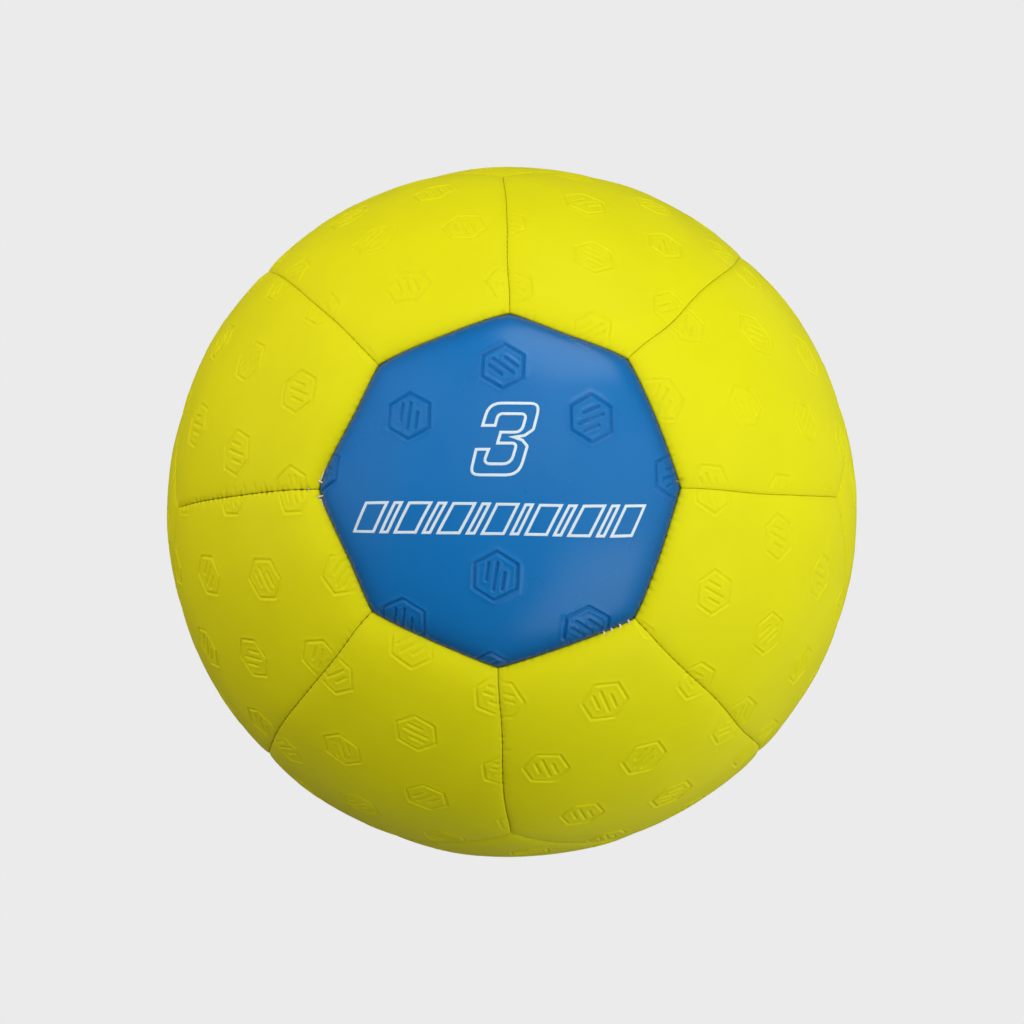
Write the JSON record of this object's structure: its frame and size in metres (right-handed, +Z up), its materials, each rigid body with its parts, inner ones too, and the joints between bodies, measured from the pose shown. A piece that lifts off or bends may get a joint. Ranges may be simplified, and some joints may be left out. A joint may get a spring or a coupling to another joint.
{
  "type": "handball",
  "caption": "Stitched handball with blue end octagons and yellow panels over foam, lining and bladder, inflated through a needle valve.",
  "frame": {"origin": "centre of the ball", "axes": "+Z up, -Y towards the viewer through the middle of the front octagon, +Y out through the valve"},
  "size_m": [0.1878, 0.1877, 0.1878],
  "materials": {
    "cover_blue": "satin embossed polyurethane synthetic leather, blue",
    "cover_yellow": "satin embossed polyurethane synthetic leather, yellow",
    "foam": "matt closed-cell foam",
    "lining": "plain woven polyester-cotton",
    "thread": "waxed polyester thread",
    "bladder_rubber": "matt butyl rubber",
    "valve_rubber": "moulded rubber",
    "core_rubber": "moulded rubber, slightly glossy"
  },
  "bodies": {
    "root": {"cover_octagon_front": "cover_blue", "cover_octagon_back": "cover_blue", "cover_square_right": "cover_yellow", "cover_square_top": "cover_yellow", "cover_square_left": "cover_yellow", "cover_square_bottom": "cover_yellow", "cover_front_1": "cover_yellow", "cover_front_2": "cover_yellow", "cover_front_3": "cover_yellow", "cover_front_4": "cover_yellow", "cover_front_5": "cover_yellow", "cover_front_6": "cover_yellow", "cover_front_7": "cover_yellow", "cover_front_8": "cover_yellow", "cover_back_1": "cover_yellow", "cover_back_2": "cover_yellow", "cover_back_3": "cover_yellow", "cover_back_4": "cover_yellow", "cover_back_5": "cover_yellow", "cover_back_6": "cover_yellow", "cover_back_7": "cover_yellow", "cover_back_8": "cover_yellow", "foam_octagon_front": "foam", "foam_octagon_back": "foam", "foam_square_right": "foam", "foam_square_top": "foam", "foam_square_left": "foam", "foam_square_bottom": "foam", "foam_front_1": "foam", "foam_front_2": "foam", "foam_front_3": "foam", "foam_front_4": "foam", "foam_front_5": "foam", "foam_front_6": "foam", "foam_front_7": "foam", "foam_front_8": "foam", "foam_back_1": "foam", "foam_back_2": "foam", "foam_back_3": "foam", "foam_back_4": "foam", "foam_back_5": "foam", "foam_back_6": "foam", "foam_back_7": "foam", "foam_back_8": "foam", "lining_octagons": "lining", "lining_squares": "lining", "lining_pentagons": "lining", "thread_octagon_front": "thread", "thread_octagon_back": "thread", "thread_cardinal": "thread", "thread_diagonal": "thread", "thread_squares": "thread", "thread_equator": "thread", "bladder": "bladder_rubber", "valve_body": "valve_rubber", "valve_core": "core_rubber"}
  },
  "joints": []
}
